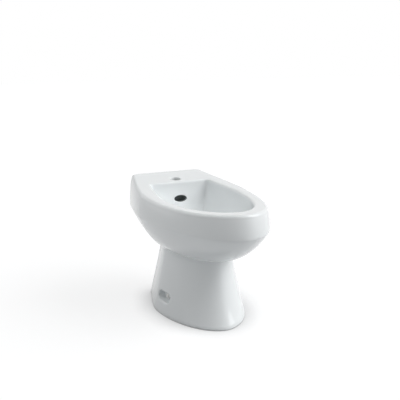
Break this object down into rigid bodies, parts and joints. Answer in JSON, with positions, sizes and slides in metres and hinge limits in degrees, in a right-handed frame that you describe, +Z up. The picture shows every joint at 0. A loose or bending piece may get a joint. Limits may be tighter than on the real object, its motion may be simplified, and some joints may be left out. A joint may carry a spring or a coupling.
{
  "type": "floor standing bidet",
  "caption": "Floor standing bidet of glazed china: oval basin under a dished rim, tap deck with open tap hole, overflow, waste with rising plug, waisted pedestal with side floor fixings.",
  "frame": {"origin": "centre of the footprint box, on the floor", "axes": "+Z up; the wall and the deck are at +Y, the nose at -Y; X across, with the plane x = 0 the mirror plane"},
  "size_m": [0.364, 0.628, 0.4005],
  "materials": {
    "china": "glossy white glaze",
    "chrome": "polished plating",
    "rubber": "matte black",
    "nylon": "natural, satin",
    "brass": "turned",
    "steel": "stainless, satin",
    "zinc_steel": "zinc plated, pressed",
    "cap": "glossy white"
  },
  "bodies": {
    "fixture": {"china_body": "china", "waste_body": "chrome", "flange_washer": "rubber", "cone_seal": "rubber", "slip_washer": "nylon", "back_nut": "brass", "waste_bridge": "brass", "click_cartridge": "nylon", "cartridge_spring": "steel", "floor_bracket_left": "zinc_steel", "floor_bracket_right": "zinc_steel", "bracket_nuts": "zinc_steel", "side_screws": "steel", "screw_sleeves": "nylon", "side_washers": "steel", "cap_rings": "nylon", "fixing_caps": "cap"},
    "plug": {"plug_cap": "chrome", "plug_seal": "rubber", "plug_stem": "brass"}
  },
  "joints": [
    {"name": "plug_slide", "type": "slide", "parent": "fixture", "child": "plug", "axis": [0, 0, 1], "range_m": [0, 0.008], "deforming": ["cartridge_spring"]}
  ]
}
